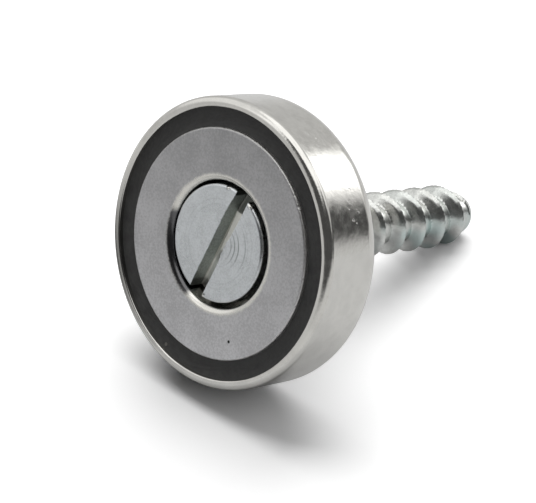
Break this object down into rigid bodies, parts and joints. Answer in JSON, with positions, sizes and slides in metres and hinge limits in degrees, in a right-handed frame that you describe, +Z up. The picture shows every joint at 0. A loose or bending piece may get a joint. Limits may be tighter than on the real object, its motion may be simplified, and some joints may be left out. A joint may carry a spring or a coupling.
{
  "type": "pot magnet",
  "caption": "Round pot magnet with a wood screw: a ring magnet bonded into a thin steel cup, and a slotted screw through its middle.",
  "frame": {"origin": "centre of the cup's flat back, on the axis of the screw, where the wood begins", "axes": "+Y along the screw into the wood; -Y is the side that holds; +Z is up, and the head's slot stands 14.3 degrees from +Z towards +X"},
  "size_m": [0.025, 0.0345, 0.025],
  "materials": {
    "cup": "bright nickel plate",
    "magnet": "fine ground, satin",
    "resin": "cast, slightly uneven",
    "screw": "thin zinc plate over turning marks"
  },
  "bodies": {
    "root": {"cup": "cup", "ring_magnet": "magnet", "resin_ring": "resin", "slotted_screw": "screw"}
  },
  "joints": []
}
